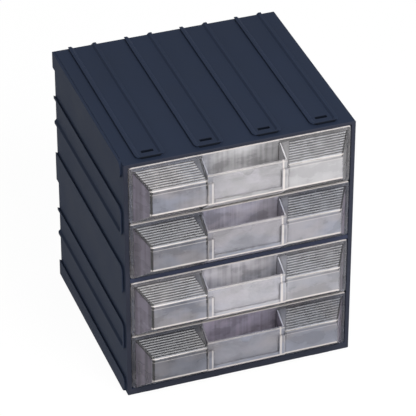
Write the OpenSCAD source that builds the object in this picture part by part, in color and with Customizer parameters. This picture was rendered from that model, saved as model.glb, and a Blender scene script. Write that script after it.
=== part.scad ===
// Modular parts cabinet: one moulded casing with coupling tracks, a back panel, a middle shelf,
// four side runners, and four clear drawers with dividers and label covers.
// Millimetres. X runs across the front, -Y is the front and +Z is up.
// The origin is on the surface the cabinet stands on, at the centre of the whole footprint.

/* [Casing] */
// Width over the plain side faces
body_w = 204; // [190:1:230]
// Depth of the casing from its front edge to its back
body_d = 192; // [180:1:240]
// Height over the plain top and bottom faces
body_h = 236; // [220:1:250]
// Thickness of the side walls
wall = 2.8; // [2.6:0.2:3.4]
// Thickness of the top wall and of the floor
deck = 3; // [3:0.2:4]
// Width of the frame round the drawer opening
frame_w = 3.8; // [3.6:0.2:4.4]
// Depth of that frame, from front to back
frame_d = 6; // [4:0.5:8]
// Height of the front sill below the lowest drawer
sill_h = 6; // [5:0.5:8]
// Thickness of the back panel
back_t = 2.5; // [2:0.5:3]

/* [Coupling tracks] */
// Height of the ribs that couple one cabinet to the next
rail_h = 1.8; // [1.6:0.1:2.4]
// Thickness of a track's ribs at their tops, lips included
rib_w = 2.8; // [2.4:0.2:3.4]
// How much wider the ribs are at their foot, on the inner side
rib_flare = 1.8; // [0:0.2:2]
// How far the lips overhang the ribs
hook = 0.8; // [0.4:0.1:1]
// Width of a top track over both its ribs
track_w = 25.4; // [24:0.2:28]
// Distance of the tracks' closed end from the front edge
track_front = 4; // [3:0.5:10]
// Width of the side tracks over both their ribs, and of the solid rail between them
side_track_w = 29; // [26:0.5:30]
// Width of the solid rails along the left side's edges
corner_w = 16; // [14:1:20]
// Distance of the right side's channels from the front edge, where they stay out of sight
channel_front = 11; // [11:1:30]

/* [Shelf and runners] */
// Height of the middle shelf's front edge
shelf_t = 4; // [4:0.5:5]
// Thickness of a runner's ledge
runner_t = 2; // [1.6:0.2:2]
// Width of a runner's ledge
runner_w = 10; // [8:1:14]

/* [Drawers] */
// Running clearance above, below and between the drawers
gap = 0.4; // [0.3:0.1:0.6]
// Wall thickness of the clear drawers
clear_t = 1.8; // [1.6:0.1:2.2]
// Free space between the drawers and the back panel
rear_gap = 9.5; // [9:0.5:20]
// How far the drawer fronts stand out of the casing
nose_d = 18; // [16:0.5:22]
// Half width of the centre section with the label holder
centre_w = 35.2; // [33:0.2:40]
// Number of grip ribs on each ledge
grip_ribs = 9; // [6:1:12]
// Thickness of a divider
divider_t = 1.4; // [1.2:0.1:1.8]
// How far a drawer pulls out
travel = 150; // [120:5:150]

/* [Hidden] */
$fn = 48;

casing_colour = [0.19, 0.21, 0.27];
inner_colour = [0.16, 0.17, 0.20];
clear_colour = [0.78, 0.79, 0.84];
cover_colour = [0.86, 0.86, 0.88];

eps = 0.01;
sink = 0.6; // how far raised features are sunk into the wall that carries them
edge_r = 1; // radius of the casing's long edges

// Levels and planes
front_y = nose_d - (body_d + nose_d) / 2;
back_y = front_y + body_d;
base_z = rail_h;
top_z = base_z + body_h;
mid_z = (base_z + top_z) / 2;
sill_z = base_z + sill_h;
bay_h = (body_h - sill_h - shelf_t - deck) / 2;
shelf_z = sill_z + bay_h;
drawer_h = (bay_h - 4 * gap) / 2;
inner_x = body_w / 2 - wall;
opening_x = body_w / 2 - frame_w;
cavity_y = front_y + frame_d;
cavity_end = back_y - back_t;
cavity_d = cavity_end - cavity_y;

// Coupling tracks
track_x = [for (i = [-3, -1, 1, 3]) i * body_w / 8];
track_u = body_h / 4; // distance of the side tracks from the middle
track_y = front_y + track_front;
track_r = 6; // round corners of a track's closed end
hook_h = 0.8; // thickness of the lips
couple_play = 0.4; // side play between a track and the channel that slides over it
channel_wall = 1.6;
latch_w = 10;
latch_l = 2.6;
latch_back = 10; // distance of the latch slots behind the tracks' closed ends

// Back panel
rebate = 1.4; // how far the back panel's seat reaches into the walls
panel_play = 0.15;
recess_deep = 0.8;
recess_border = 10;
tab_w = 16;
tab_l = 8;
tab_t = 1.6;
tab_x = [-60, 60];
barb = 0.8;
barb_play = 0.4;

// Shelf and runners
skirt = 1.2; // how far the drawer fronts reach below the bins, over shelf and runners
shelf_web = 2;
shelf_edge = 4; // depth of the shelf's full-height front edge
groove_deep = 1.2;
groove_play = 0.1;
glide_x = [-88, -30, 30, 88];
glide_w = 3;
glide_end = tab_l + 2; // distance of the glides' ends from the back panel
flange_t = 1.6; // thickness of a runner's upright flange
flange_drop = 8;
flange_rise = 6;
runner_start = 0.5; // distance of the runners behind the frame
runner_l = cavity_d - tab_l - 4;
peg_l = 6;
peg_h = 5;
peg_deep = 1.4;
peg_play = 0.2;
peg_end = 20; // distance of the outer pegs from a runner's ends
peg_y = [for (k = [0, 0.5, 1]) peg_end + k * (runner_l - 2 * peg_end)];

// Drawer fronts, measured from the casing's front edge and the fronts' own lower edge
front_play = 0.5; // clearance of the drawer front in the opening
front_x = opening_x - front_play;
front_t = 2;
front_r = 2.5;
margin = 3; // plain border round the raised front
ledge_drop = 15.5; // the ledges' front edge below the top of the drawer
panel_h = 23.6; // height of the side panels
nose_taper = 10.8; // how much narrower the raised front is at its front, each side
nose_rear_x = front_x - margin;
nose_front_x = nose_rear_x - nose_taper;
nose_top = drawer_h - margin;
panel_y = 0.8 - nose_d;
ledge_z = drawer_h - ledge_drop;
panel_z = ledge_z - panel_h;
heel_z = 0.6; // underside of the nose where it meets the drawer front
ledge_slope = (nose_top - ledge_z) / -panel_y;
under_slope = (panel_z - heel_z) / -panel_y;

// Centre section and label holder
centre_y = 1.8 - nose_d;
centre_z = drawer_h - 11.3;
rim_w = 4.2; // solid part of the label holder's arms
rim_low = 4.3; // height of the label holder's bottom rim
rim_r = 1;
arm_top = drawer_h - 18.3;
lip_w = 1.4; // how far the label holder's lip reaches over the cover
lip_t = 0.9;
cover_room = 0.9; // gap for the cover between the panel and the lip
cover_t = 0.7;
cover_play = 0.3;
cover_drop = 1.5; // the cover's upper edge below the top of the centre panel
thumb_r = 5; // finger notch in the cover's upper edge

// Grip ribs
grip_h = 0.5;
grip_end = 1; // plain strip between the grip ribs and the slanted ends
grip_rear_in = 42.5; // inner end of the grip ribs at the back of the ledge
grip_pitch = -panel_y / (grip_ribs + 0.7);
grip_start = -0.5 * grip_pitch;

// Bins
bin_x = front_x - 0.7;
bin_floor = skirt + clear_t;
bin_top = drawer_h - 1.6;
back_top = drawer_h - 5;
drawer_d = body_d - back_t - rear_gap;
lug_y = travel + frame_d + 0.2; // front face of the stop lugs
lug_l = 4;
lug_z = 28;
lug_h = 8;
lug_t = 1.8;

// Dividers and their slots
slot_play = 0.2;
slot_rib = 1.2;
slot_deep = 2;
slot_top = bin_top - 10;
divider_x = 32;
divider_play = 0.3;
seat_play = 0.1; // gap under a divider, and behind and under a label cover
divider_h = bin_top - skirt - 6;
bead_w = 2.4;
bead_h = 2;

function bay_floor(n) = n <= 2 ? shelf_z + shelf_t : sill_z;
function is_upper(n) = n == 1 || n == 3;
function drawer_z(n) = bay_floor(n) + gap + (is_upper(n) ? drawer_h + 2 * gap : 0);
function runner_z(bay) = drawer_z(bay == "upper" ? 1 : 3) + skirt - gap - runner_t;

// A rectangle with round corners, centred on the origin
module rounded_rect(w, h, r) {
    square([w - 2 * r, h], center = true);
    square([w, h - 2 * r], center = true);
    for (x = [-1, 1], y = [-1, 1])
        translate([x * (w / 2 - r), y * (h / 2 - r)]) circle(r);
}

// A strip along Y with round front corners; grow moves its sides and front end outwards
module strip(w, grow = 0, to_y = back_y) {
    half = w / 2 + grow;
    start = track_y - grow;
    r = track_r + grow;
    translate([-half, start + r]) square([2 * half, to_y - start - r]);
    translate([r - half, start]) square([2 * (half - r), 2 * r]);
    for (x = [-1, 1])
        translate([x * (half - r), start + r]) circle(r);
}

// A coupling rib on the plane z = 0: children(0) is the outline of its stem, children(1) of its lip
module stem_and_lip() {
    translate([0, 0, -sink]) linear_extrude(rail_h - hook_h + sink) children(0);
    translate([0, 0, rail_h - hook_h - eps]) linear_extrude(hook_h + eps) children(1);
}

// Outline of a rib across its length: the lip's outer side at x = 0, the flared inner side at +X
module rib_outline() {
    lip_z = rail_h - hook_h;
    foot = rib_w + rib_flare;
    polygon([
        [hook, -sink], [hook, lip_z], [0, lip_z], [0, rail_h], [rib_w, rail_h], [foot, 0], [foot, -sink]
    ]);
}

// Two ribs along Y whose lips point outwards, joined at the front and open at the back
module track(w) {
    half = w / 2;
    turn_y = track_y + track_r;
    translate([track_r - half, track_y, 0]) rotate([90, 0, 90])
        linear_extrude(2 * (half - track_r)) rib_outline();
    for (s = [-1, 1]) scale([s, 1, 1]) {
        translate([-half, back_y, 0]) rotate([90, 0, 0]) linear_extrude(back_y - turn_y) rib_outline();
        translate([half - track_r, turn_y, 0]) rotate([0, 0, -90])
            rotate_extrude(angle = 90) translate([track_r, 0]) scale([-1, 1]) rib_outline();
    }
}

// A solid rail along Y with lips on both sides
module rail(w) {
    stem_and_lip() {
        strip(w, -hook);
        strip(w);
    }
}

// A solid rail along an edge of the casing, with its outer side at x = 0 and a lip on the inner side
module corner_rail() {
    translate([-corner_w / 2, 0, 0]) stem_and_lip() {
        translate([hook / 2, 0]) strip(corner_w - hook);
        strip(corner_w);
    }
}

// The mate of a track or rail of width w: its lips reach inwards under that track's lips
module channel(w) {
    outer = couple_play + channel_wall;
    stem_and_lip() {
        difference() {
            strip(w, outer);
            strip(w, couple_play, back_y + 1);
        }
        difference() {
            strip(w, outer);
            strip(w, couple_play - hook, back_y + 1);
        }
    }
}

// The mate of a corner rail: one rib beside it, with its lip towards the rail
module corner_channel() {
    side = -corner_w - couple_play;
    stem_and_lip() {
        translate([side - channel_wall, front_y]) square([channel_wall, body_d]);
        translate([side - channel_wall, front_y]) square([channel_wall + hook, body_d]);
    }
}

// Place a coupling feature, drawn on the plane z = 0, on one of the casing's faces
module on_top() translate([0, 0, top_z]) children();
module on_bottom() translate([0, 0, base_z]) rotate([0, 180, 0]) children();
module on_left() translate([-body_w / 2, 0, mid_z]) rotate([0, -90, 0]) children();
module on_right() translate([body_w / 2, 0, mid_z]) rotate([0, 90, 0]) children();

module coupling_features() {
    for (x = track_x) {
        on_top() translate([x, 0, 0]) track(track_w);
        on_bottom() translate([x, 0, 0]) channel(track_w);
    }
    on_left() {
        rail(side_track_w);
        for (s = [-1, 1]) {
            translate([s * track_u, 0, 0]) track(side_track_w);
            scale([s, 1, 1]) translate([body_h / 2, 0, 0]) corner_rail();
        }
    }
    on_right() difference() {
        side_channels();
        translate([-body_h, front_y - 1, -1]) cube([2 * body_h, channel_front + 1, rail_h + 2]);
    }
}

// The right side's channels, mates of the left side's tracks and rails
module side_channels() {
    channel(side_track_w);
    for (s = [-1, 1]) {
        translate([s * track_u, 0, 0]) channel(side_track_w);
        scale([s, 1, 1]) translate([body_h / 2, 0, 0]) corner_channel();
    }
}

// Slots through the top near the closed ends of its tracks, where the cabinet above latches
module latch_slots() {
    for (x = track_x)
        translate([x - latch_w / 2, track_y + latch_back, top_z - deck - 1])
            cube([latch_w, latch_l, deck + 2]);
}

module casing_hollow() {
    floor_z = base_z + deck;
    roof_z = top_z - deck;
    translate([-inner_x, cavity_y, floor_z])
        cube([2 * inner_x, cavity_d + eps, roof_z - floor_z]);
    translate([-opening_x, front_y - 1, sill_z])
        cube([2 * opening_x, frame_d + 1 + eps, roof_z - sill_z]);
    translate([-inner_x - rebate, cavity_end, floor_z - rebate])
        cube([2 * (inner_x + rebate), back_t + 1, roof_z - floor_z + 2 * rebate]);
}

// Grooves that hold the side edges of the middle shelf
module shelf_grooves() {
    for (s = [-1, 1])
        translate([s * (inner_x + groove_deep / 2), (cavity_y + cavity_end) / 2, shelf_z + shelf_web / 2])
            cube([groove_deep + eps, cavity_d, shelf_web + 2 * groove_play], center = true);
}

// Blind pockets for the pegs of the four runners
module peg_pockets() {
    deep = peg_deep + peg_play;
    for (bay = ["upper", "lower"], s = [-1, 1], y = peg_y)
        translate([s * (inner_x + deep / 2), cavity_y + runner_start + y, runner_z(bay) + runner_t / 2])
            cube([deep, peg_l + peg_play, peg_h + peg_play], center = true);
}

// Shallow pockets for the barbs of the back panel's tabs
module barb_pockets() {
    for (x = tab_x, z = [base_z + deck, top_z - deck])
        translate([x, cavity_end - tab_l + barb, z])
            cube([tab_w + 1, 2 * barb + barb_play, 2 * barb + barb_play], center = true);
}

module casing() {
    color(casing_colour) {
        difference() {
            union() {
                translate([0, back_y, mid_z]) rotate([90, 0, 0])
                    linear_extrude(body_d) rounded_rect(body_w, body_h, edge_r);
                coupling_features();
            }
            casing_hollow();
            shelf_grooves();
            peg_pockets();
            barb_pockets();
            latch_slots();
        }
        for (x = glide_x)
            translate([x - glide_w / 2, cavity_y - eps, base_z + deck - eps])
                cube([glide_w, cavity_d - glide_end, sill_h - deck + skirt + eps]);
    }
}

module back_panel() {
    plate_w = 2 * (inner_x + rebate - panel_play);
    plate_h = body_h - 2 * deck + 2 * (rebate - panel_play);
    recess_w = plate_w / 2 - 1.5 * recess_border;
    color(casing_colour) {
        difference() {
            translate([-plate_w / 2, cavity_end, mid_z - plate_h / 2]) cube([plate_w, back_t, plate_h]);
            for (s = [-1, 1])
                translate([s * (plate_w - recess_border) / 4, back_y, mid_z])
                    cube([recess_w, 2 * recess_deep, plate_h - 2 * recess_border], center = true);
        }
        for (x = tab_x, s = [-1, 1])
            translate([x, 0, mid_z]) scale([1, 1, s])
                translate([-tab_w / 2, cavity_end - tab_l, body_h / 2 - deck - panel_play - tab_t]) {
                    cube([tab_w, tab_l + eps, tab_t]);
                    translate([0, barb_play / 2, 0]) cube([tab_w, 2 * barb - barb_play, tab_t + barb]);
                }
    }
}

module middle_shelf() {
    edge_x = inner_x + groove_deep - groove_play;
    lip_x = opening_x - groove_play;
    color(inner_colour) {
        translate([-lip_x, front_y, shelf_z]) cube([2 * lip_x, shelf_edge, shelf_t]);
        translate([-lip_x, front_y, shelf_z]) cube([2 * lip_x, frame_d + 1, shelf_web]);
        translate([-edge_x, cavity_y + groove_play, shelf_z])
            cube([2 * edge_x, cavity_d - 2 * groove_play, shelf_web]);
        for (x = glide_x)
            translate([x - glide_w / 2, cavity_y, shelf_z + eps])
                cube([glide_w, cavity_d - glide_end, shelf_t + skirt - eps]);
    }
}

// An L-shaped strip on a side wall; side is -1 on the left and 1 on the right
module runner(bay, side) {
    color(inner_colour)
        translate([side * inner_x, cavity_y + runner_start, runner_z(bay)]) scale([side, 1, 1]) {
            translate([-flange_t, 0, -flange_drop])
                cube([flange_t, runner_l, flange_drop + runner_t + flange_rise]);
            translate([-runner_w, 0, 0]) cube([runner_w, runner_l, runner_t]);
            for (y = peg_y)
                translate([-eps, y - peg_l / 2, (runner_t - peg_h) / 2]) cube([peg_deep + eps, peg_l, peg_h]);
        }
}

// Extrude a (y, z) outline along X, from -half to half
module along_x(half) {
    translate([-half, 0, 0]) rotate([90, 0, 90]) linear_extrude(2 * half) children();
}

// Outline of the raised front seen from the side, out to the plane y = front and down to low
module nose_side(front, front_top, low) {
    polygon([[eps, nose_top], [front, front_top], [front, low], [eps, heel_z]]);
}

// The raised front seen from above, narrowed on each side by inset
module nose_plan(inset) {
    rear = nose_rear_x - inset;
    front = nose_front_x - inset;
    translate([0, 0, -1]) linear_extrude(drawer_h + 2) polygon([
        [-rear, 1], [rear, 1], [rear, 0], [front, panel_y - eps],
        [-front, panel_y - eps], [-rear, 0]
    ]);
}

// The ledges and panels at the left and right, hollow and open below for the fingers
module side_hoods() {
    skin = clear_t * sqrt(1 + ledge_slope * ledge_slope);
    inner_y = panel_y + clear_t;
    inner_top = nose_top - skin;
    difference() {
        intersection() {
            along_x(front_x) nose_side(panel_y, ledge_z, panel_z);
            nose_plan(0);
        }
        intersection() {
            along_x(front_x) polygon([
                [0, inner_top], [inner_y, inner_top + ledge_slope * inner_y], [inner_y, -1], [0, -1]
            ]);
            nose_plan(1.15 * clear_t);
            for (s = [-1, 1])
                translate([s * (centre_w + front_x / 2), 0, drawer_h / 2])
                    cube([front_x, 3 * nose_d, 2 * drawer_h], center = true);
        }
        translate([0, -nose_d / 2, drawer_h / 2])
            cube([2 * centre_w - 2 * eps, nose_d, 2 * drawer_h], center = true);
    }
}

// Grip ribs along X on a ledge; they end on a slant beside the centre section
module grip(side) {
    root = 0.8; // how far the ribs are sunk into the ledge
    end = grip_start - grip_ribs * grip_pitch;
    crests = [for (i = [0 : grip_ribs - 1], k = [0, 1])
        let (y = grip_start - (i + k / 2) * grip_pitch)
        [y, nose_top + ledge_slope * y + k * grip_h]];
    base = [for (y = [end, grip_start]) [y, nose_top + ledge_slope * y - root]];
    taper = nose_taper / -panel_y;
    outer = nose_rear_x - grip_end;
    scale([side, 1, 1]) intersection() {
        along_x(front_x) polygon(concat(crests, [[end, nose_top + ledge_slope * end]], base));
        linear_extrude(drawer_h + 1) polygon([
            [grip_rear_in, 0], [outer, 0], [outer + taper * panel_y, panel_y], [centre_w + 0.4, panel_y]
        ]);
    }
}

// The centre section: a finger pocket open at the top, behind the label holder
module centre_section() {
    skin = clear_t * sqrt(1 + under_slope * under_slope);
    inner_y = centre_y + clear_t;
    difference() {
        along_x(centre_w) nose_side(centre_y, centre_z, heel_z - under_slope * centre_y);
        along_x(centre_w - clear_t) polygon([
            [0, heel_z + skin], [inner_y, heel_z + skin - under_slope * inner_y],
            [inner_y, drawer_h + 1], [0, drawer_h + 1]
        ]);
    }
}

// Outline of the label holder, seen from the front
module holder_outline() {
    translate([-centre_w, panel_z]) square([2 * centre_w, arm_top - panel_z]);
}

// The label holder: arms and a bottom rim with a lip that keeps the cover in
module label_holder() {
    mid_x = centre_w - rim_w;
    translate([0, centre_y + eps, 0]) rotate([90, 0, 0]) {
        linear_extrude(cover_room + eps) difference() {
            holder_outline();
            translate([-mid_x, panel_z + rim_low - lip_w]) square([2 * mid_x, drawer_h]);
        }
        translate([0, 0, cover_room]) linear_extrude(lip_t) difference() {
            holder_outline();
            translate([0, panel_z + rim_low + drawer_h / 2])
                rounded_rect(2 * (mid_x - lip_w), drawer_h, rim_r);
        }
    }
}

// Upright ribs that hold a divider's ends, at one end wall
module divider_slots(y) {
    offset_x = divider_t / 2 + slot_play + slot_rib / 2;
    for (x = [-divider_x, divider_x], s = [-1, 1])
        translate([x + s * offset_x - slot_rib / 2, y, bin_floor - eps])
            cube([slot_rib, slot_deep, slot_top - bin_floor]);
}

// The open box behind the drawer front, with its divider slots and stop lugs
module bin() {
    difference() {
        translate([-bin_x, 0, skirt]) cube([2 * bin_x, drawer_d, bin_top - skirt]);
        translate([clear_t - bin_x, front_t, bin_floor])
            cube([2 * (bin_x - clear_t), drawer_d - front_t - clear_t, drawer_h]);
        translate([-bin_x - 1, drawer_d - clear_t, back_top]) cube([2 * bin_x + 2, clear_t + 1, drawer_h]);
    }
    divider_slots(front_t - eps);
    divider_slots(drawer_d - clear_t - slot_deep + eps);
    for (s = [-1, 1])
        translate([s * bin_x, lug_y + lug_l / 2, lug_z + lug_h / 2])
            cube([2 * lug_t, lug_l, lug_h], center = true);
}

module drawer(n) {
    color(clear_colour) translate([0, front_y, drawer_z(n)]) {
        bin();
        translate([0, front_t, drawer_h / 2]) rotate([90, 0, 0])
            linear_extrude(front_t) rounded_rect(2 * front_x, drawer_h, front_r);
        side_hoods();
        centre_section();
        label_holder();
        for (s = [-1, 1]) grip(s);
    }
}

// A thin upright plate with a bead on top; side is -1 for the left one and 1 for the right one
module divider(n, side) {
    length = drawer_d - front_t - clear_t - 2 * divider_play;
    bead_start = slot_deep + 1;
    color(clear_colour)
        translate([side * divider_x, front_y + front_t + divider_play, drawer_z(n) + bin_floor + seat_play]) {
            translate([-divider_t / 2, 0, 0]) cube([divider_t, length, divider_h]);
            translate([-bead_w / 2, bead_start, divider_h - bead_h])
                cube([bead_w, length - 2 * bead_start, bead_h]);
        }
}

// A thin clear strip that slides down behind the lips of the label holder
module label_cover(n) {
    half = centre_w - rim_w - cover_play;
    low = panel_z + rim_low - lip_w + seat_play;
    height = centre_z - cover_drop - low;
    color(cover_colour)
        translate([0, front_y + centre_y - seat_play, drawer_z(n) + low]) rotate([90, 0, 0])
            linear_extrude(cover_t) difference() {
                translate([0, height / 2]) rounded_rect(2 * half, height, rim_r);
                translate([0, height]) circle(thumb_r);
            }
}

casing();
back_panel();
middle_shelf();
runner("upper", -1);  // runner_upper_left
runner("upper", 1);  // runner_upper_right
runner("lower", -1);  // runner_lower_left
runner("lower", 1);  // runner_lower_right
drawer(1);  // drawer_1
drawer(2);  // drawer_2
drawer(3);  // drawer_3
drawer(4);  // drawer_4
divider(1, -1);  // divider_1_left
divider(1, 1);  // divider_1_right
divider(2, -1);  // divider_2_left
divider(2, 1);  // divider_2_right
divider(3, -1);  // divider_3_left
divider(3, 1);  // divider_3_right
divider(4, -1);  // divider_4_left
divider(4, 1);  // divider_4_right
label_cover(1);  // label_cover_1
label_cover(2);  // label_cover_2
label_cover(3);  // label_cover_3
label_cover(4);  // label_cover_4
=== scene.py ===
"""Dresses the parts cabinet: a dark moulded casing and four clear drawers with ribbed ledges."""
import math

import bpy
from bpy.props import FloatProperty, FloatVectorProperty, PointerProperty
from mathutils import Matrix, Vector


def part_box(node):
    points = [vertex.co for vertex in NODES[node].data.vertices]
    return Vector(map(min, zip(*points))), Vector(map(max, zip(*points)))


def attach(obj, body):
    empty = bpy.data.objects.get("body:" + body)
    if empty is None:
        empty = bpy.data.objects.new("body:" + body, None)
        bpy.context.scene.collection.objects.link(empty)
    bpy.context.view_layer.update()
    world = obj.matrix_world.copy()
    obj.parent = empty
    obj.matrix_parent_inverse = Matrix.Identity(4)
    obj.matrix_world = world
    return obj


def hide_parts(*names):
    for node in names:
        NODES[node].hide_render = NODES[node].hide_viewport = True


bl_info = {
    "name": "Parts cabinet",
    "version": (1, 0, 0),
    "blender": (4, 5, 0),
    "location": "View3D > Sidebar > Parts cabinet",
    "description": "A modular parts cabinet with clear drawers, dressed round its solids",
    "category": "Object",
}

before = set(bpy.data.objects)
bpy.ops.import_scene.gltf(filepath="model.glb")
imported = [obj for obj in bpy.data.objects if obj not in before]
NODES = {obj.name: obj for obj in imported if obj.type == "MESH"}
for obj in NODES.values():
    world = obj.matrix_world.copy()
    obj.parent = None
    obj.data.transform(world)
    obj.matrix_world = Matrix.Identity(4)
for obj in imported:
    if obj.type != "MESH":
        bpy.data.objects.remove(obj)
MM = 0.001
DRAWERS = (1, 2, 3, 4)
SIDES = ("left", "right")
BAYS = ("upper", "lower")

# Planes that the pieces share, taken from the solids, in metres
FRONT_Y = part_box("middle_shelf")[0].y
DRAWER_Z = {n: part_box(f"drawer_{n}")[0].z for n in DRAWERS}
TRACK_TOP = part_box("casing")[1].z

# The casing in millimetres: y from its front edge, z from the top of its tracks
FRAME_EDGE = 0.4             # depth of the front edge that takes the painted sheen
TRACK_PITCH = 51.0           # from one top track to the next
TRACK_END = (3.3, 5.6)       # y of a track's closed end
TRACK_SHADE_Z = -1.7            # z down to which a track's end gets painted shade
SLOT_REACH = 5.6             # half the length of a latch slot and its rim of painted shade
SLOT_Y = (13.5, 17.1)        # the slot across its length, with its rim
SLOT_Z = (-5.0, -1.5)        # the slot's walls, down through the casing, which get painted shade

# A drawer's front in millimetres: y from the casing's front, z from the drawer's lower edge
CENTRE_X = 35.2              # half the width of the label holder
NOSE_DEPTH = 17.2            # from the front plate to the two front panels
LABEL_Y = -16.2              # the label plate
RIM_Y = -17.35               # the lips in front of the label
POCKET_Y = -14.4             # the finger pocket's front wall
POCKET_X = 34.0              # half the width of the finger pocket, with a margin
PLATE_Y = (-0.6, 2.6)        # the front plate, with a margin
PLATE_TOP = 54.95            # top of the front plate
LEDGE_TOP = 51.95            # the ledges at the plate
LABEL_TOP = 43.65            # top of the label plate
PANEL_TOP = 39.45            # the ledges at their front, where the panels begin
PANEL_LOW = 15.85            # lower edge of the panels
LEDGE_SLOPE = 0.727          # fall of the ledges for each millimetre forwards
END_X = 94.7                 # the slanted ends at the plate
END_TAPER = 10.8 / NOSE_DEPTH    # how far they lean in for each millimetre forwards
RIB_PITCH = NOSE_DEPTH / 9.7     # from one grip rib to the next
RIBS_X = 42.5                # where the grip ribs start at the plate
RIBS_TAPER = 0.40            # how far that start leans in for each millimetre forwards
GROOVE = (-0.3, 0.25)        # height of the grooves between the ribs, from the ledge's plane

# Where single lines on the front run, in millimetres across it or up it
CHEEK_X = (33.0, 35.4)       # the side walls of the finger pocket
ARM_X = (30.5, 31.7)         # the lit inner edge of each arm of the label holder
ARM_EDGE_X = (34.4, 35.4)    # the lit outer edge of each arm
HOLDER_X = (30.8, 32.2)      # the lit right end of the label plate
WINDOW_X = (28.6, 29.8)      # the shade at each end of the label
WINDOW_TOP = 36.0            # where that shade begins
CORNER_X = (-84.8, -83.0)    # painted shade in the corner between the left end and its panel
SHADE_SPOT_Z = (32.0, 42.0)       # a painted spot of shade beside the label holder

# Where one tone of the front's painted light and shade goes over into the next, in millimetres
# across it
LEDGE_FADE_X = (-30.0, -45.0)
LABEL_FADE_X = (-48.0, -18.0)
RIGHT_FADE_X = (30.0, 44.0)
POCKET_FADE_X = (0.0, 30.0)
EDGE_FADE_X = (-30.0, 40.0)

# Painted light across each front: how much lighter each drawer's label plate is than its left panel,
# and its right panel than the label plate, from the top drawer down
LABEL_LIFT = (0.13, 0.14, 0.25, 0.21)
RIGHT_LIFT = (0.085, 0.0, -0.155, -0.08)

DARK_DEPTH = 0.9             # share of the light that a dark line takes
FLOOR_WHITE = 1.03           # strength of the floor's white
FLOOR_SHARE = 0.93           # share of the white in the floor, which leaves it a faint shadow
CLEAR_LAYERS = 40            # clear surfaces that a ray may cross


# ---------------------------------------------------------------- settings

class CasingSettings(bpy.types.PropertyGroup):
    """Sizes and colours of the dark moulded parts"""
    colour: FloatVectorProperty(
        name="Plastic", description="Colour of the moulded casing", subtype="COLOR",
        size=3, min=0, max=1, default=(0.0214, 0.0301, 0.0545))
    # Painted sheen: the casing's front faces get a lighter, greyer tint that stands in for the light
    # they reflect
    front_sheen_colour: FloatVectorProperty(
        name="Front frame", description="Colour of the casing's front edge", subtype="COLOR",
        size=3, min=0, max=1, default=(0.0290, 0.0320, 0.0470))
    inner_colour: FloatVectorProperty(
        name="Inner plastic", description="Colour of the shelf and the runners", subtype="COLOR",
        size=3, min=0, max=1, default=(0.0330, 0.0385, 0.0660))
    edge_radius: FloatProperty(
        name="Edge radius", description="Radius of the moulded edges", unit="LENGTH",
        min=0, max=0.001, default=0.35 * MM)
    roughness: FloatProperty(
        name="Roughness", description="How dull the plastic is", subtype="FACTOR",
        min=0, max=1, default=0.62)


class ClearSettings(bpy.types.PropertyGroup):
    """Sizes and colours of the clear parts"""
    colour: FloatVectorProperty(
        name="Clear plastic", description="Cool tint of the clear drawers", subtype="COLOR",
        size=3, min=0, max=1, default=(0.80, 0.83, 1.00))
    warm_colour: FloatVectorProperty(
        name="Warm tint", description="Tint of the clear drawers' warmer patches",
        subtype="COLOR", size=3, min=0, max=1, default=(0.94, 0.90, 0.98))
    end_colour: FloatVectorProperty(
        name="Ends", description="Tint of the drawer fronts' slanted ends", subtype="COLOR",
        size=3, min=0, max=1, default=(0.88, 0.77, 1.00))
    bright_colour: FloatVectorProperty(
        name="Brightest panel", description="Tint of the best lit front panel", subtype="COLOR",
        size=3, min=0, max=1, default=(0.93, 0.91, 0.94))
    cool_colour: FloatVectorProperty(
        name="Cool edges", description="Tint of the edges away from the light", subtype="COLOR",
        size=3, min=0, max=1, default=(0.60, 0.61, 0.70))
    edge_colour: FloatVectorProperty(
        name="Lit edges", description="Colour of the clear drawers' edges", subtype="COLOR",
        size=3, min=0, max=1, default=(0.68, 0.63, 0.61))
    # Painted shade: each drawer's tone stands in for how much light reaches it
    tones: FloatVectorProperty(
        name="Tones", description="How light each drawer is, from the top one down",
        size=4, min=0, max=2, default=(1.0, 0.78, 0.92, 0.60))
    body_alpha: FloatProperty(
        name="Body", description="How much of the light a clear surface stops", subtype="FACTOR",
        min=0, max=1, default=0.20)
    front_alpha: FloatProperty(
        name="Cloudy front", description="How much of the light a drawer's cloudy front stops",
        subtype="FACTOR", min=0, max=1, default=0.82)
    edge_alpha: FloatProperty(
        name="Edges", description="How much of the light a clear edge stops", subtype="FACTOR",
        min=0, max=1, default=0.52)
    film_alpha: FloatProperty(
        name="Film", description="How cloudy the label covers are", subtype="FACTOR",
        min=0, max=1, default=0.16)
    edge_radius: FloatProperty(
        name="Edge radius", description="Radius of the drawers' edges", unit="LENGTH",
        min=0, max=0.001, default=0.32 * MM)
    divider_radius: FloatProperty(
        name="Divider edges", description="Radius of the dividers' edges", unit="LENGTH",
        min=0, max=0.001, default=0.2 * MM)
    film_radius: FloatProperty(
        name="Film edges", description="Radius of the label covers' edges", unit="LENGTH",
        min=0, max=0.001, default=0.15 * MM)


class StageSettings(bpy.types.PropertyGroup):
    """Camera, lights and floor"""
    azimuth: FloatProperty(
        name="Azimuth", description="Turn of the camera round the cabinet", subtype="ANGLE",
        default=math.radians(-19.69))
    elevation: FloatProperty(
        name="Elevation", description="Height of the camera above the horizon", subtype="ANGLE",
        default=math.radians(34.24))
    distance: FloatProperty(
        name="Distance", description="Distance of the camera from its aim", unit="LENGTH",
        default=2.4382)
    aim: FloatVectorProperty(
        name="Aim", description="Point that the camera looks at", subtype="TRANSLATION",
        size=3, default=(0.00218, 0.0, 0.11721))
    lens: FloatProperty(
        name="Lens", description="Focal length in millimetres", unit="CAMERA", default=242.3)
    key_power: FloatProperty(
        name="Key light", description="Power of the light at the front right", unit="POWER",
        default=22.0)
    side_power: FloatProperty(
        name="Side light", description="Power of the light at the left", unit="POWER",
        default=1.2)
    front_power: FloatProperty(
        name="Front light", description="Power of the small light at the front right",
        unit="POWER", default=1.6)
    room_level: FloatProperty(
        name="Room", description="Level of the light from all round", subtype="FACTOR",
        min=0, max=1, default=0.55)


# ---------------------------------------------------------------- shader maths

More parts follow.
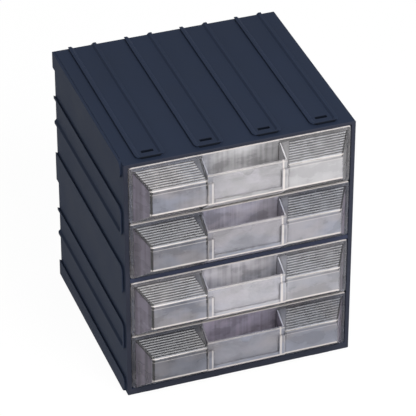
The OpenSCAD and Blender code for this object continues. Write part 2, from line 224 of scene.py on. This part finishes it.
class Field:
    """A value or a vector in a material; Python's operators on a value add Math nodes"""

    def __init__(self, finish, socket):
        self.finish = finish
        self.socket = socket

    def maths(self, operation, first, second, clamp=False):
        return self.finish.node("ShaderNodeMath", {0: first, 1: second},
                                operation=operation, use_clamp=clamp)

    def __add__(self, other):
        return self.maths("ADD", self, other)

    def __radd__(self, other):
        return self.maths("ADD", other, self)

    def __sub__(self, other):
        return self.maths("SUBTRACT", self, other)

    def __rsub__(self, other):
        return self.maths("SUBTRACT", other, self)

    def __mul__(self, other):
        return self.maths("MULTIPLY", self, other)

    def __rmul__(self, other):
        return self.maths("MULTIPLY", other, self)

    def __abs__(self):
        return self.maths("ABSOLUTE", self, 0)

    def cosine(self):
        return self.maths("COSINE", self, 0)

    def above(self, other):
        """The larger of the two"""
        return self.maths("MAXIMUM", self, other)

    def clamped(self):
        return self.maths("ADD", self, 0, clamp=True)

    def dimmed(self, mask, share=1.0):
        """Less by share where the mask is 1"""
        return self * (1.0 - share * mask)

    def covered(self, mask, other):
        """other where the mask is 1"""
        return self + mask * (other - self)

    def ramp(self, low, high):
        """0 at low and 1 at high, with a soft start and end; low may be the larger one"""
        return self.finish.node("ShaderNodeMapRange", {0: self, 1: low, 2: high},
                                interpolation_type="SMOOTHSTEP")

    def band(self, low, high, soft):
        """1 between low and high, with soft sides"""
        return self.ramp(low - soft, low + soft) * self.ramp(high + soft, high - soft)


class Finish:
    """The nodes of a material or of the world while they are put together"""

    def __init__(self, owner, output="ShaderNodeOutputMaterial"):
        owner.use_nodes = True
        self.owner = owner
        self.tree = owner.node_tree
        self.tree.nodes.clear()
        self.output = self.tree.nodes.new(output)

    def node(self, kind, inputs=None, out=0, **settings):
        """Adds a node: its settings come first, then its inputs, each a value or a field"""
        made = self.tree.nodes.new(kind)
        for key, value in settings.items():
            setattr(made, key, value)
        for key, value in (inputs or {}).items():
            if isinstance(value, Field):
                self.tree.links.new(value.socket, made.inputs[key])
            else:
                made.inputs[key].default_value = value
        return Field(self, made.outputs[out])

    def place(self, origin=(0, 0, 0)):
        """Object coordinates in millimetres from origin, which is in metres"""
        spot = self.node("ShaderNodeTexCoord", out="Object")
        moved = self.node("ShaderNodeVectorMath", {0: spot, 1: tuple(origin)},
                          operation="SUBTRACT")
        return self.node("ShaderNodeVectorMath", {0: moved, "Scale": 1 / MM},
                         operation="SCALE")

    def axes(self, vector):
        """The three parts of a vector"""
        return [self.node("ShaderNodeSeparateXYZ", {0: vector}, out=i) for i in range(3)]

    def stretched(self, vector, factors, shift=(0, 0, 0)):
        """A place for noise: factors are its changes per millimetre along each axis"""
        return self.node("ShaderNodeVectorMath", {0: vector, 1: tuple(factors), 2: tuple(shift)},
                         operation="MULTIPLY_ADD")

    def noise(self, vector, scale=1.0, detail=2.0):
        return self.node("ShaderNodeTexNoise", {
            "Vector": vector, "Scale": scale, "Detail": detail})

    def mix(self, factor, first, second):
        first, second = [c if isinstance(c, Field) else (*c, 1) for c in (first, second)]
        return self.node("ShaderNodeMix", {0: factor, 6: first, 7: second}, out=2,
                         data_type="RGBA")

    def shaded(self, colour, factor):
        """colour times factor"""
        grey = self.node("ShaderNodeCombineXYZ", {0: factor, 1: factor, 2: factor})
        colour = colour if isinstance(colour, Field) else tuple(colour)
        return self.node("ShaderNodeVectorMath", {0: colour, 1: grey}, operation="MULTIPLY")

    def bump(self, height, distance, strength):
        return self.node("ShaderNodeBump", {
            "Height": height, "Distance": distance, "Strength": strength})

    def plastic(self, **sockets):
        """Ends the material in a Principled surface"""
        values = {key.replace("_", " "): value for key, value in sockets.items()}
        return self.ends_in(self.node("ShaderNodeBsdfPrincipled", values))

    def ends_in(self, surface):
        """Gives the output its surface, and returns the material or the world"""
        self.tree.links.new(surface.socket, self.output.inputs["Surface"])
        return self.owner


def new_finish(name):
    return Finish(bpy.data.materials.new(name))


# ---------------------------------------------------------------- dark finishes

def moulded_plastic(name, colour, roughness, edge_highlight=0.0, front_sheen_colour=None):
    """Dark satin plastic with a fine grain and faint flow marks; an edge material gets a painted
    highlight, and the casing's gets a painted sheen on its front faces and painted shade at its
    track ends and latch slots
    """
    finish = new_finish(name)
    spot = finish.place()
    grain = finish.noise(spot, scale=2.4, detail=3.0)
    cloud = finish.noise(spot, scale=0.035, detail=3.0)
    flow = finish.noise(finish.stretched(spot, (0.06, 0.012, 0.06)))
    # The edge materials' extra tone is a painted highlight on their rounded edges
    tone = 0.86 + 0.22 * cloud + 0.10 * (flow - 0.5) + 0.10 * (grain - 0.5) + edge_highlight
    # Painted sheen on the front faces, and painted shade at the track ends and latch slots
    if front_sheen_colour:
        front, painted_shade = casing_sheen_and_shade(finish)
        colour = finish.mix(front, colour, front_sheen_colour)
        tone = tone * (1.0 - painted_shade)
    return finish.plastic(
        Base_Color=finish.shaded(colour, tone),
        Roughness=roughness + 0.16 * (cloud - 0.5) + 0.10 * (grain - 0.5),
        Normal=finish.bump(grain, distance=0.02 * MM, strength=0.5),
        Specular_IOR_Level=0.05)


def casing_sheen_and_shade(finish):
    """Two masks: the casing's front faces, which take a painted sheen; painted shade on its track
    ends and in its latch slots
    """
    x, y, z = finish.axes(finish.place((0, FRONT_Y, TRACK_TOP)))
    front = y.ramp(FRAME_EDGE, FRAME_EDGE - 0.3)
    # Painted shade on the front of each track's closed end and on the walls of the latch slots
    ends = y.ramp(TRACK_END[0], TRACK_END[0] + 0.5) * y.ramp(TRACK_END[1], TRACK_END[1] - 0.6)
    ends = ends * z.ramp(TRACK_SHADE_Z - 0.05, TRACK_SHADE_Z + 0.05)
    from_slot = abs(abs(abs(x) - TRACK_PITCH) - TRACK_PITCH / 2)
    slots = from_slot.ramp(SLOT_REACH, SLOT_REACH - 0.4) * y.band(*SLOT_Y, 0.1)
    slots = slots * z.band(*SLOT_Z, 0.1)
    return front, (0.8 * ends + 0.7 * slots).clamped()


# ---------------------------------------------------------------- clear finishes

def on_drawer(finish, n):
    """Millimetres from the middle of drawer n's lower edge, in the plane of the casing's front"""
    return finish.place((0, FRONT_Y, DRAWER_Z[n]))


class DrawerFront:
    """Masks for the regions of a drawer's front: each is 1 there and 0 elsewhere"""

    def __init__(self, finish, n, level):
        self.n = n
        self.level = level
        x, y, z = finish.axes(on_drawer(finish, n))
        across = abs(x)
        self.x, self.y, self.z, self.across = x, y, z, across
        # Heights over the ledges' plane and distances from the slanted ends, in millimetres
        self.rise = z - (LEDGE_TOP + LEDGE_SLOPE * y)
        self.end_gap = (END_X + END_TAPER * y) - across

        self.beside = across.ramp(CENTRE_X, CENTRE_X + 0.8)
        self.inside = 1.0 - self.beside
        self.rightwards = x.ramp(*LABEL_FADE_X)
        self.right_half = x.ramp(0.0, 1.0)
        self.plate = y.band(*PLATE_Y, 0.2)
        self.crown = z.ramp(PLATE_TOP - 1.2, PLATE_TOP - 0.8) * y.band(-0.5, 2.3, 0.2)
        self.nose = y.ramp(-0.2, -0.8)
        self.panel = y.ramp(LABEL_Y + 1.2, LABEL_Y + 0.2)
        self.ends = self.nose * self.end_gap.ramp(0.7, 0.3)
        self.cheeks = across.band(*CHEEK_X, 0.2) * y.band(LABEL_Y + 1.0, -0.6, 0.3)
        self.far_cheek = self.cheeks * self.right_half
        self.pocket = (across.ramp(POCKET_X, POCKET_X - 0.5) * y.ramp(3.0, 2.4)
                       * y.ramp(POCKET_Y - 0.4, POCKET_Y + 0.4))

        # The ledges: crest is 1 on their ribs and plain beside them; far is painted shade that dims
        # the left ledge of the duller drawers
        self.ledge = self.nose * self.rise.band(-1.1, 1.1, 0.3) * self.beside
        self.crest = 0.5 + 0.5 * (y * (2 * math.pi / RIB_PITCH)).cosine()
        self.plain = self.ledge * (across - RIBS_X - RIBS_TAPER * y).ramp(0.2, -0.2)
        self.far = 1.0 - 1.05 * (1.0 - level) * self.ledge * x.ramp(*LEDGE_FADE_X)

        self.light = self.light_lines()
        self.dark = self.dark_lines()

    def light_lines(self):
        """Where the front's edges gather light"""
        side_panel = self.panel * self.beside
        brow = side_panel * self.z.band(PANEL_TOP - 0.5, PANEL_TOP + 0.5, 0.15)
        second = side_panel * self.z.band(PANEL_TOP - 3.8, PANEL_TOP - 3.1, 0.25)
        foot = self.panel * self.z.ramp(PANEL_LOW + 1.8, PANEL_LOW + 1.2)
        label_top = self.panel * self.inside * self.z.ramp(LABEL_TOP - 1.0, LABEL_TOP - 0.6)
        rim = self.inside * self.y.ramp(RIM_Y, RIM_Y - 0.25)
        arms = rim * (0.8 * self.across.band(*ARM_X, 0.2) + 0.4 * self.across.band(*ARM_EDGE_X, 0.2))
        holder = self.x.band(*HOLDER_X, 0.2) * self.y.ramp(LABEL_Y + 2.0, LABEL_Y + 1.0)
        return (brow + 0.45 * second + foot + self.crown + arms + holder
                + 0.7 * label_top).clamped()

    def dark_lines(self):
        """Painted shade: dark lines along the front's corners, seams and slanted edges, under the
        brow, at the label's ends and beside the label holder, and a painted shadow at the left
        ledge's inner end
        """
        side_panel = self.panel * self.beside
        under_brow = side_panel * self.z.band(PANEL_TOP - 2.8, PANEL_TOP - 1.2, 0.35)
        corner = self.x.band(*CORNER_X, 0.3) * self.y.ramp(-14.0, -15.0)
        slant = self.nose * self.end_gap.band(-0.3, 1.4, 0.25) * self.rise.band(-1.8, 1.2, 0.25)
        seam = self.nose * self.across.band(CENTRE_X + 0.2, CENTRE_X + 1.6, 0.3)
        seam = seam.dimmed(self.right_half, 0.6)
        shade_spot = seam * self.panel * self.z.band(*SHADE_SPOT_Z, 0.8)
        # Painted shadow on the left ledge's plain inner end, beside the finger pocket
        wedge = self.plain.dimmed(self.right_half)
        label = self.panel * self.inside * self.z.ramp(WINDOW_TOP, WINDOW_TOP - 1.0)
        window = label * self.across.band(*WINDOW_X, 0.3)
        return (0.30 * under_brow + corner + 0.8 * slant + 0.5 * seam + 0.6 * shade_spot
                + 0.55 * wedge + 0.35 * window).clamped()

    def tones(self, lit):
        """Each region's mask and how light the region is; a later one covers an earlier one; the
        levels are painted light and shade, with lit rib crests over shaded grooves, a pocket that
        darkens to the right and panels that lighten to the right
        """
        ribs = (0.02 + 0.26 * self.crest + 0.06 * lit) * self.far
        panel = (0.20 + 0.10 * lit + LABEL_LIFT[self.n - 1] * self.rightwards
                 + RIGHT_LIFT[self.n - 1] * self.x.ramp(*RIGHT_FADE_X))
        return ((self.ends, (0.13 + 0.12 * lit) * (1.9 - 0.9 * self.level)),
                (self.pocket, (0.34 + 0.28 * lit).dimmed(self.x.ramp(*POCKET_FADE_X), 0.25)),
                (self.far_cheek, 0.55 + 0.25 * lit),
                (self.ledge, ribs.covered(self.plain, 0.24 + 0.08 * lit)),
                (self.panel, panel))


def clear_plastic(name, n, settings):
    """Clear moulded plastic: cloudy at the front, with streaks from the mould's flow, and with
    painted light and shade on the front's regions and lines
    """
    finish = new_finish(name)
    level = settings.tones[n - 1]
    front = DrawerFront(finish, n, level)
    spot = on_drawer(finish, n)
    shift = (n * 31.7, 0, n * 11.3)
    cloud = finish.noise(finish.stretched(spot, (0.045, 0.05, 0.080), shift), detail=3.0)
    streak = finish.noise(finish.stretched(spot, (0.35, 0.15, 0.010), shift), detail=1.5)
    tint = finish.noise(finish.stretched(spot, (0.025, 0.03, 0.050), (n * 7.9, 3.0, 0)))
    wave = finish.noise(finish.stretched(spot, (0.10, 0.10, 0.10), shift), detail=1.0)
    flow = 0.15 + (0.50 * front.ends + 0.18 * front.pocket).clamped()
    # 0 in the dull patches and streaks, and 1 in the light ones
    lit = cloud.covered(flow, streak).ramp(0.36, 0.64)

    tone = 0.48 + 0.06 * lit
    cloudy = 0.6 * (front.cheeks - front.far_cheek)
    for mask, value in front.tones(lit):
        tone = tone.covered(mask, value)
        cloudy = cloudy + mask
    tone = (tone * level).dimmed(front.dark, DARK_DEPTH)

    hue = finish.mix(tint.ramp(0.40, 0.62), settings.colour, settings.warm_colour)
    violet = (front.ends + 2.0 * (1.0 - level) * front.pocket).dimmed(front.panel)
    hue = finish.mix(violet.clamped(), hue, settings.end_colour)
    # Painted light: the right of the best lit drawers takes the brightest tint
    hue = finish.mix(front.rightwards * level ** 8, hue, settings.bright_colour)
    lines = finish.shaded(settings.edge_colour, 0.5 + 0.5 * level)

    alpha = settings.body_alpha * (0.9 + 0.2 * lit)
    alpha = alpha.covered(cloudy.clamped(), settings.front_alpha)
    alpha = alpha.above(0.75 * front.light).above(0.95 * front.dark)
    return finish.plastic(
        Base_Color=finish.mix(front.light, finish.shaded(hue, tone), lines),
        Alpha=alpha.clamped(), Roughness=0.22 + 0.12 * cloud,
        Normal=finish.bump(wave, distance=0.25 * MM, strength=0.6),
        Specular_IOR_Level=0.35, IOR=1.58)


def clear_edge(name, n, settings):
    """The same plastic at its edges, where it gathers light"""
    finish = new_finish(name)
    level = settings.tones[n - 1]
    front = DrawerFront(finish, n, level)
    spot = on_drawer(finish, n)
    patch = finish.noise(finish.stretched(spot, (0.12, 0.12, 0.12), (n * 17.1, 0, 0)))
    lit = patch.ramp(0.36, 0.62)

    # Painted highlight on the rounded edges: weaker in the duller drawers, and dimmed on the front
    # plate below its crown and on the finger pocket's side walls
    tone = (0.45 + 0.30 * lit + 0.35 * front.light) * (0.3 + 0.7 * level) * front.far
    tone = tone * (1.0 - front.ledge * (1.0 - level * (0.60 + 0.15 * lit)))
    tone = tone.dimmed(front.plate * (1.0 - front.crown), 0.45)
    tone = tone.dimmed(front.cheeks, 0.65).dimmed(front.dark, DARK_DEPTH)

    cool = (0.8 * front.x.ramp(*EDGE_FADE_X) + 1.2 * (1.0 - level)).dimmed(front.light)
    hue = finish.mix(cool.clamped(), settings.edge_colour, settings.cool_colour)

    alpha = settings.edge_alpha * (0.55 + 0.45 * lit)
    alpha = alpha.dimmed(front.cheeks, 0.75) * (0.65 + 0.35 * front.nose)
    alpha = alpha.above(0.7 * front.light).above(0.95 * front.dark).above(0.8 * front.ledge)
    return finish.plastic(
        Base_Color=finish.shaded(hue, tone), Alpha=alpha.clamped(),
        Roughness=0.22 + 0.10 * patch, Specular_IOR_Level=0.35, IOR=1.58)


def cover_film(name, n, settings):
    """Thin clear film, slightly frosted, darkened by its drawer's painted shade"""
    finish = new_finish(name)
    level = settings.tones[n - 1]
    spot = on_drawer(finish, n)
    cloud = finish.noise(finish.stretched(spot, (0.07, 0.07, 0.09), (n * 23.9, 0, 5.0)), detail=3.0)
    lit = cloud.ramp(0.34, 0.66)
    clear = [0.56 * level * c for c in settings.bright_colour]
    frosted = [0.72 * level * c for c in settings.warm_colour]
    alpha = settings.film_alpha * (0.8 + 0.4 * lit)
    return finish.plastic(
        Base_Color=finish.mix(lit, clear, frosted), Alpha=alpha.clamped(),
        Roughness=0.30 + 0.15 * cloud, Specular_IOR_Level=0.5)


# ---------------------------------------------------------------- modelling

def select_only(piece):
    """Makes the piece the one that operators act on"""
    bpy.ops.object.select_all(action="DESELECT")
    piece.select_set(True)
    bpy.context.view_layer.objects.active = piece


def apply_modifier(piece, kind, **settings):
    """Gives the piece a modifier and applies it"""
    select_only(piece)
    bpy.ops.object.modifier_add(type=kind)
    modifier = piece.modifiers[-1]
    for key, value in settings.items():
        setattr(modifier, key, value)
    bpy.ops.object.modifier_apply(modifier=modifier.name)


def rounded_copy(node, name, radius, materials):
    """A merged copy of a solid with rounded edges; the edges take the last of the materials"""
    mesh = NODES[node].data.copy()
    mesh.name = name
    mesh.materials.clear()
    for material in materials:
        mesh.materials.append(material)
    piece = bpy.data.objects.new(name, mesh)
    bpy.context.scene.collection.objects.link(piece)
    select_only(piece)
    bpy.ops.mesh.customdata_custom_splitnormals_clear()
    bpy.ops.object.mode_set(mode="EDIT")
    bpy.ops.mesh.select_all(action="SELECT")
    bpy.ops.mesh.remove_doubles(threshold=0.02 * MM)
    bpy.ops.mesh.dissolve_degenerate(threshold=0.01 * MM)
    bpy.ops.mesh.dissolve_limited(
        angle_limit=math.radians(0.6), use_dissolve_boundaries=False, delimit=set())
    bpy.ops.object.mode_set(mode="OBJECT")
    apply_modifier(
        piece, "BEVEL", width=radius, segments=2, limit_method="ANGLE",
        angle_limit=math.radians(30), use_clamp_overlap=False, miter_outer="MITER_SHARP",
        material=len(materials) - 1)
    bpy.ops.object.shade_smooth()
    apply_modifier(piece, "WEIGHTED_NORMAL", mode="FACE_AREA", weight=100, keep_sharp=False)
    return piece


def plain_grooves(drawer):
    """Gives the grooves between the grip ribs the body's finish, so that only the crests light up"""
    origin = Vector((0, FRONT_Y, DRAWER_Z[1]))
    for face in drawer.data.polygons:
        x, y, z = (face.center - origin) / MM
        rise = z - LEDGE_TOP - LEDGE_SLOPE * y
        on_ledge = 0.6 - NOSE_DEPTH < y < 0 and abs(x) > CENTRE_X + 0.8
        if on_ledge and GROOVE[0] < rise < GROOVE[1]:
            face.material_index = 0


def copied(piece, name, materials, rise):
    """A copy with its own mesh, raised by rise"""
    mesh = piece.data.copy()
    mesh.name = name
    mesh.transform(Matrix.Translation((0, 0, rise)))
    for i, material in enumerate(materials):
        mesh.materials[i] = material
    twin = bpy.data.objects.new(name, mesh)
    bpy.context.scene.collection.objects.link(twin)
    return twin


def fitted(piece, body, node):
    """Says what a piece rides on, and hides the solid that it stands for"""
    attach(piece, body)
    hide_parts(node)


def in_each_drawer(node, name, radius, materials, detail=None):
    """Models the top drawer's piece and copies it to the others; {n} is the drawer's number"""
    first = rounded_copy(node.format(n=1), name.format(n=1), radius, materials[1])
    if detail:
        detail(first)
    for n in DRAWERS:
        piece = first
        if n > 1:
            piece = copied(first, name.format(n=n), materials[n], DRAWER_Z[n] - DRAWER_Z[1])
        fitted(piece, f"drawer_{n}_unit", node.format(n=n))


# ---------------------------------------------------------------- pieces

class CABINET_OT_casing(bpy.types.Operator):
    """Make the casing and its back panel"""
    bl_idname = "cabinet.casing"
    bl_label = "Casing and back panel"

    def execute(self, context):
        settings = context.scene.cabinet_casing
        plastic = moulded_plastic("casing_plastic", settings.colour, settings.roughness,
                                  front_sheen_colour=settings.front_sheen_colour)
        edge = moulded_plastic("casing_edges", settings.colour, settings.roughness, edge_highlight=0.15,
                               front_sheen_colour=settings.front_sheen_colour)
        for node in ("casing", "back_panel"):
            piece = rounded_copy(node, f"moulded_{node}", settings.edge_radius, [plastic, edge])
            fitted(piece, "cabinet", node)
        return {"FINISHED"}


class CABINET_OT_shelf(bpy.types.Operator):
    """Make the middle shelf and finish the runners"""
    bl_idname = "cabinet.shelf"
    bl_label = "Shelf and runners"

    def execute(self, context):
        settings = context.scene.cabinet_casing
        plastic = moulded_plastic("inner_plastic", settings.inner_colour, settings.roughness)
        edge = moulded_plastic("inner_edges", settings.inner_colour, settings.roughness, edge_highlight=0.2)
        shelf = rounded_copy("middle_shelf", "moulded_shelf", settings.edge_radius, [plastic, edge])
        fitted(shelf, "cabinet", "middle_shelf")
        for bay in BAYS:
            for side in SIDES:
                for slot in NODES[f"runner_{bay}_{side}"].material_slots:
                    slot.material = plastic
        return {"FINISHED"}


class CABINET_OT_drawers(bpy.types.Operator):
    """Make the four clear drawers"""
    bl_idname = "cabinet.drawers"
    bl_label = "Drawers"

    def execute(self, context):
        settings = context.scene.cabinet_clear
        materials = {n: [clear_plastic(f"clear_plastic_{n}", n, settings),
                         clear_edge(f"clear_edges_{n}", n, settings)] for n in DRAWERS}
        in_each_drawer("drawer_{n}", "clear_drawer_{n}", settings.edge_radius,
                       materials, detail=plain_grooves)
        return {"FINISHED"}


class CABINET_OT_dividers(bpy.types.Operator):
    """Make the two dividers of each drawer, which share the drawer's materials"""
    bl_idname = "cabinet.dividers"
    bl_label = "Dividers"

    def execute(self, context):
        settings = context.scene.cabinet_clear
        materials = {n: [bpy.data.materials[f"clear_plastic_{n}"],
                         bpy.data.materials[f"clear_edges_{n}"]] for n in DRAWERS}
        for side in SIDES:
            node = "divider_{n}_" + side
            in_each_drawer(node, "clear_" + node, settings.divider_radius,
                           materials)
        return {"FINISHED"}


class CABINET_OT_label_covers(bpy.types.Operator):
    """Make the film that covers each label"""
    bl_idname = "cabinet.label_covers"
    bl_label = "Label covers"

    def execute(self, context):
        settings = context.scene.cabinet_clear
        materials = {n: [cover_film(f"cover_film_{n}", n, settings)] for n in DRAWERS}
        in_each_drawer("label_cover_{n}", "film_{n}", settings.film_radius,
                       materials)
        return {"FINISHED"}


# ---------------------------------------------------------------- stage

def seen_directly(finish):
    """1 for a ray from the camera, off a mirror or through glass, and 0 for the rest"""
    camera, mirror, glass = [
        finish.node("ShaderNodeLightPath", out=ray)
        for ray in ("Is Camera Ray", "Is Glossy Ray", "Is Transmission Ray")]
    return camera.above(mirror).above(glass)


def pale_floor():
    """A floor that looks white and keeps the cabinet's faint shadow"""
    bpy.ops.object.select_all(action="DESELECT")
    bpy.ops.mesh.primitive_plane_add(size=6.0, location=(0, 0, -0.1 * MM))
    floor = bpy.context.object
    floor.name = "floor"
    finish = new_finish("floor_white")
    surface = finish.node("ShaderNodeBsdfDiffuse", {"Color": (0.80, 0.80, 0.80, 1)})
    white = finish.node("ShaderNodeEmission", {"Color": (1, 1, 1, 1), "Strength": FLOOR_WHITE})
    share = seen_directly(finish) * FLOOR_SHARE
    both = finish.node("ShaderNodeMixShader", {0: share, 1: surface, 2: white})
    floor.data.materials.append(finish.ends_in(both))
    return floor


def white_room(level):
    """A world that lights the cabinet at a low level and looks white"""
    finish = Finish(bpy.data.worlds.new("room"), "ShaderNodeOutputWorld")
    room = finish.node("ShaderNodeBackground", {"Color": (0.80, 0.80, 0.80, 1), "Strength": level})
    white = finish.node("ShaderNodeBackground", {"Color": (1, 1, 1, 1), "Strength": 1.0})
    both = finish.node("ShaderNodeMixShader", {0: seen_directly(finish), 1: room, 2: white})
    return finish.ends_in(both)


def area_light(name, place, aim, size, power):
    """A round lamp turned towards its aim"""
    bpy.ops.object.light_add(type="AREA", location=place)
    light = bpy.context.object
    light.name = name
    light.data.shape = "DISK"
    light.data.size = size
    light.data.energy = power
    light.rotation_euler = (Vector(aim) - Vector(place)).to_track_quat("-Z", "Y").to_euler()


def aimed_camera(settings):
    """A camera at the set angle and distance from its aim"""
    back = Vector((math.sin(settings.azimuth) * math.cos(settings.elevation),
                   -math.cos(settings.azimuth) * math.cos(settings.elevation),
                   math.sin(settings.elevation)))
    bpy.ops.object.camera_add(location=Vector(settings.aim) + back * settings.distance)
    camera = bpy.context.object
    camera.name = "camera"
    camera.rotation_mode = "QUATERNION"
    camera.rotation_quaternion = (-back).to_track_quat("-Z", "Y")
    camera.data.sensor_width = 36.0
    camera.data.lens = settings.lens
    camera.data.clip_end = 20.0
    return camera


class CABINET_OT_stage(bpy.types.Operator):
    """Make the floor, the lights and the camera"""
    bl_idname = "cabinet.stage"
    bl_label = "Stage"

    def execute(self, context):
        scene = context.scene
        settings = scene.cabinet_stage
        pale_floor()
        scene.world = white_room(settings.room_level)
        area_light("key_light", place=(0.25, -1.20, 1.30), aim=settings.aim, size=0.9,
                   power=settings.key_power)
        area_light("side_light", place=(-1.5, -0.5, 0.7), aim=settings.aim, size=1.0,
                   power=settings.side_power)
        area_light("front_light", place=(0.50, -0.55, 0.16), aim=settings.aim, size=0.30,
                   power=settings.front_power)
        scene.camera = aimed_camera(settings)
        scene.view_settings.view_transform = "Standard"
        scene.cycles.transparent_max_bounces = CLEAR_LAYERS
        return {"FINISHED"}


# ---------------------------------------------------------------- add-on

class CABINET_PT_sidebar(bpy.types.Panel):
    """The cabinet's steps and settings"""
    bl_idname = "CABINET_PT_sidebar"
    bl_label = "Parts cabinet"
    bl_space_type = "VIEW_3D"
    bl_region_type = "UI"
    bl_category = "Parts cabinet"

    def draw(self, context):
        layout = self.layout
        for name in SETTINGS:
            group = getattr(context.scene, name)
            box = layout.box()
            for key in group.__annotations__:
                box.prop(group, key)
        for step in STEPS:
            layout.operator(step.bl_idname)


SETTINGS = {"cabinet_casing": CasingSettings, "cabinet_clear": ClearSettings,
            "cabinet_stage": StageSettings}
STEPS = (CABINET_OT_casing, CABINET_OT_shelf, CABINET_OT_drawers, CABINET_OT_dividers,
         CABINET_OT_label_covers, CABINET_OT_stage)
CLASSES = (*SETTINGS.values(), *STEPS, CABINET_PT_sidebar)


def register():
    for cls in CLASSES:
        bpy.utils.register_class(cls)
    for name, group in SETTINGS.items():
        setattr(bpy.types.Scene, name, PointerProperty(type=group))


def unregister():
    for name in SETTINGS:
        delattr(bpy.types.Scene, name)
    for cls in reversed(CLASSES):
        bpy.utils.unregister_class(cls)


def main():
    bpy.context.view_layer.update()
    register()
    bpy.ops.cabinet.casing()
    bpy.ops.cabinet.shelf()
    bpy.ops.cabinet.drawers()
    bpy.ops.cabinet.dividers()
    bpy.ops.cabinet.label_covers()
    bpy.ops.cabinet.stage()


if __name__ == "__main__":
    main()
